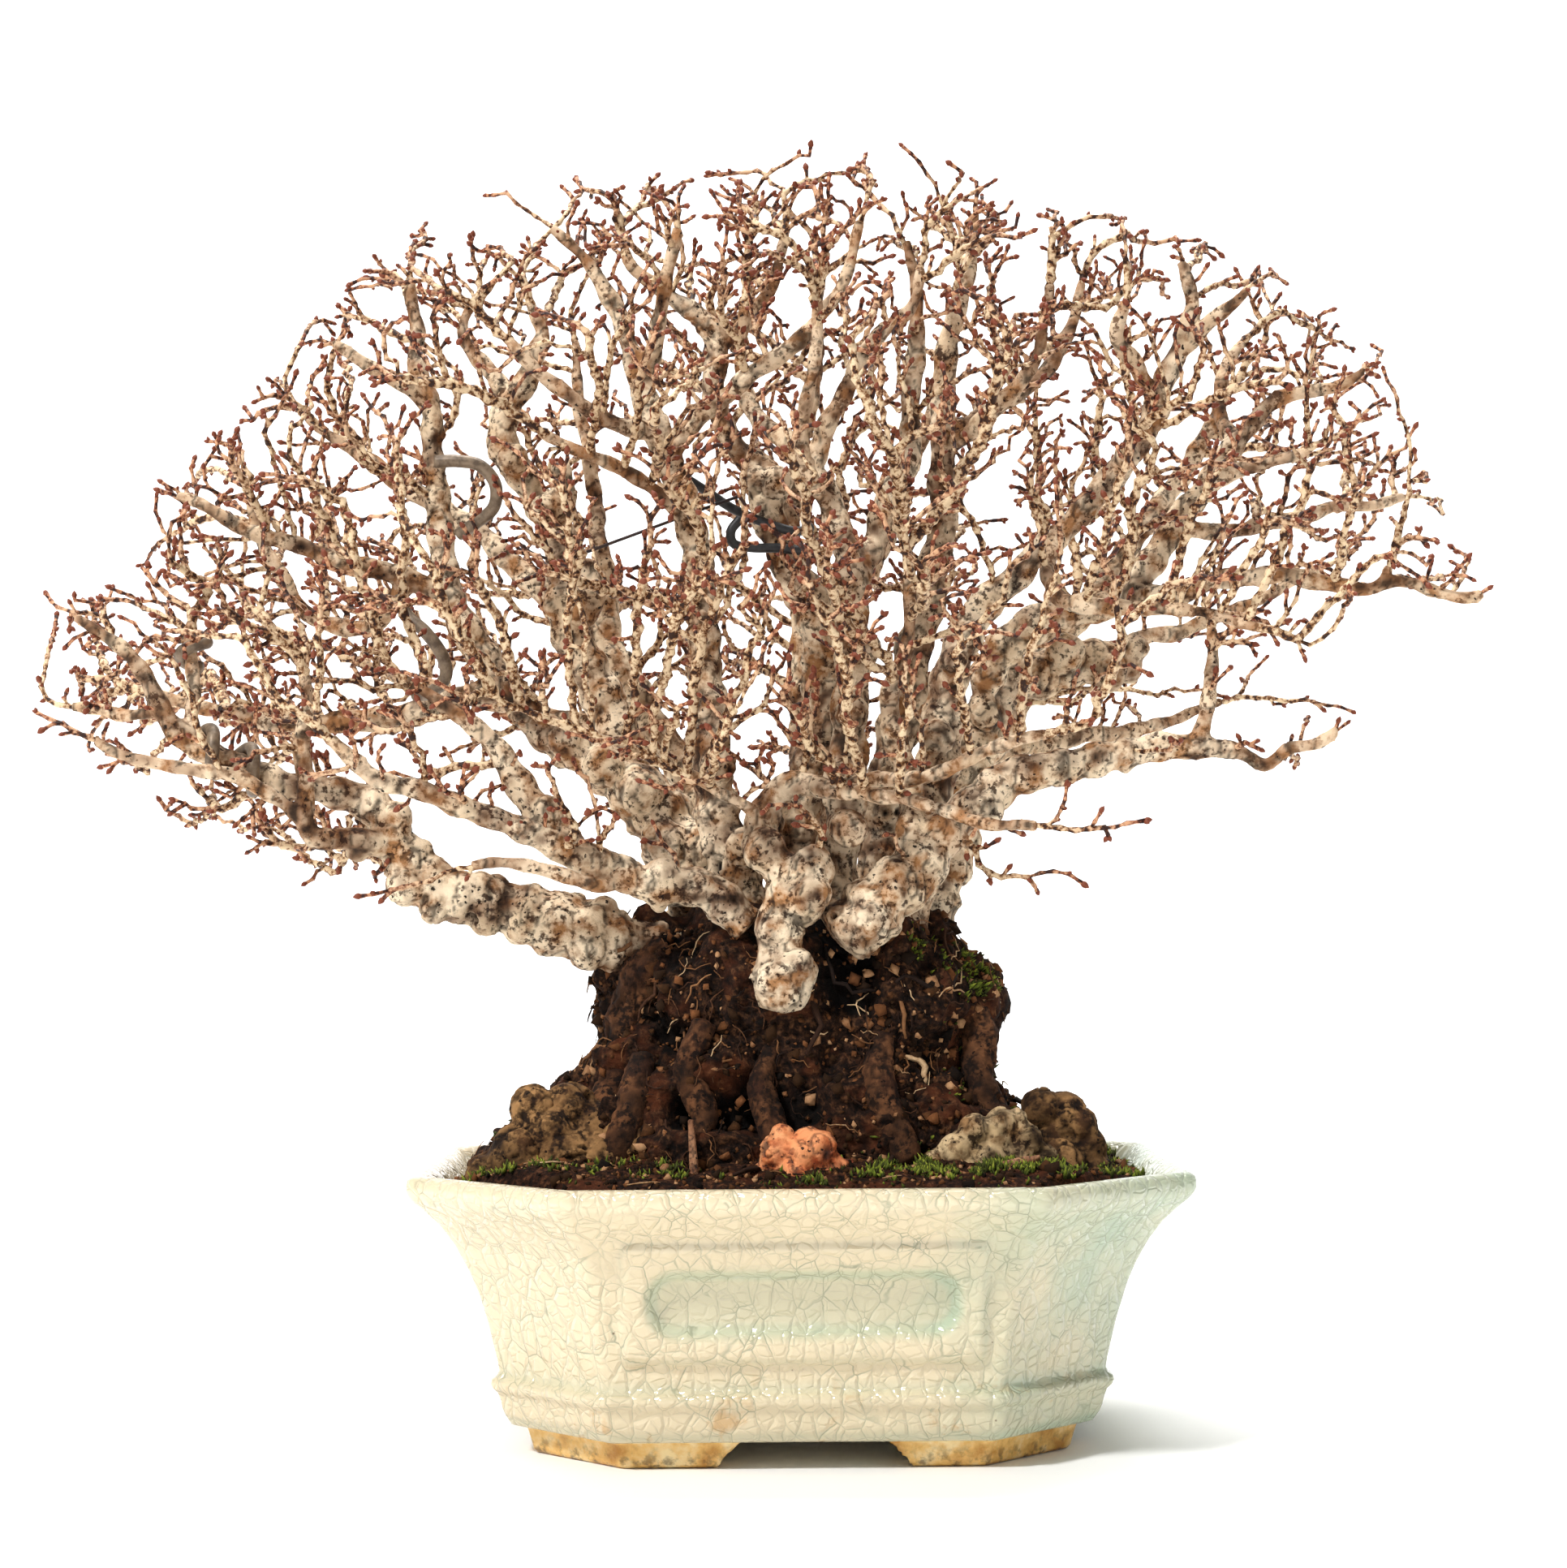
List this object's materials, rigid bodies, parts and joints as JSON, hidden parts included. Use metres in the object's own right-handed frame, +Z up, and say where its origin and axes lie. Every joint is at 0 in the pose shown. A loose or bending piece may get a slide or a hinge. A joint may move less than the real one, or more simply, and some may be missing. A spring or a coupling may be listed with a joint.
{
  "type": "potted bonsai tree",
  "caption": "Leafless clump-style bonsai with many twisting trunks on a dark root mound, in a shallow octagonal footed glazed pot.",
  "frame": {"origin": "middle of the underside of the whole object's bounding box, on the surface that the pot stands on", "axes": "+Z up, +X to the right along the long side of the pot, -Y towards the viewer"},
  "size_m": [0.4432, 0.2174, 0.3986],
  "materials": {
    "glaze": "cream to pale celadon crackle glaze, unglazed ochre feet",
    "mesh_plastic": "black moulded drainage mesh",
    "aluminium_wire": "weathered grey-brown annealed wire",
    "tie_wire": "dull thin tie wire",
    "black_sleeve": "black sleeved wire, satin",
    "bark": "pale knobbly bark with dark pits",
    "root_mass": "dark brown fibrous roots packed with peat",
    "soil": "dark damp fine-grained potting soil",
    "dead_wood": "bare dead root wood, orange brown",
    "moss": "short green moss"
  },
  "bodies": {
    "root": {"trunk_low_left": "bark", "trunk_second_left": "bark", "trunk_left_main": "bark", "trunk_left_dark": "bark", "trunk_centre_left": "bark", "trunk_centre_dark": "bark", "trunk_centre_pale": "bark", "trunk_centre_right": "bark", "trunk_right_leaning": "bark", "trunk_right_spreading": "bark", "trunk_low_right": "bark", "trunk_front": "bark", "trunk_back_left": "bark", "trunk_back_centre": "bark", "trunk_back_right": "bark", "pot": "glaze", "drain_mesh_left": "mesh_plastic", "drain_mesh_right": "mesh_plastic", "mesh_clip_left": "aluminium_wire", "mesh_clip_right": "aluminium_wire", "guy_wire": "tie_wire", "anchor_wire": "tie_wire", "hook_wire_upper": "black_sleeve", "hook_wire_lower": "black_sleeve", "shaping_wire_low_left": "aluminium_wire", "shaping_wire_left": "aluminium_wire", "shaping_wire_upper_left": "aluminium_wire", "shaping_wire_far_left": "aluminium_wire", "root_knob_left": "root_mass", "root_knob_dark": "root_mass", "root_knob_right": "bark", "root_mound": "root_mass", "soil": "soil", "orange_root": "dead_wood", "upright_stick": "dead_wood", "wood_chip": "dead_wood", "moss_front_right": "moss", "moss_front_left": "moss", "moss_right": "moss", "moss_on_mound": "moss"}
  },
  "joints": []
}
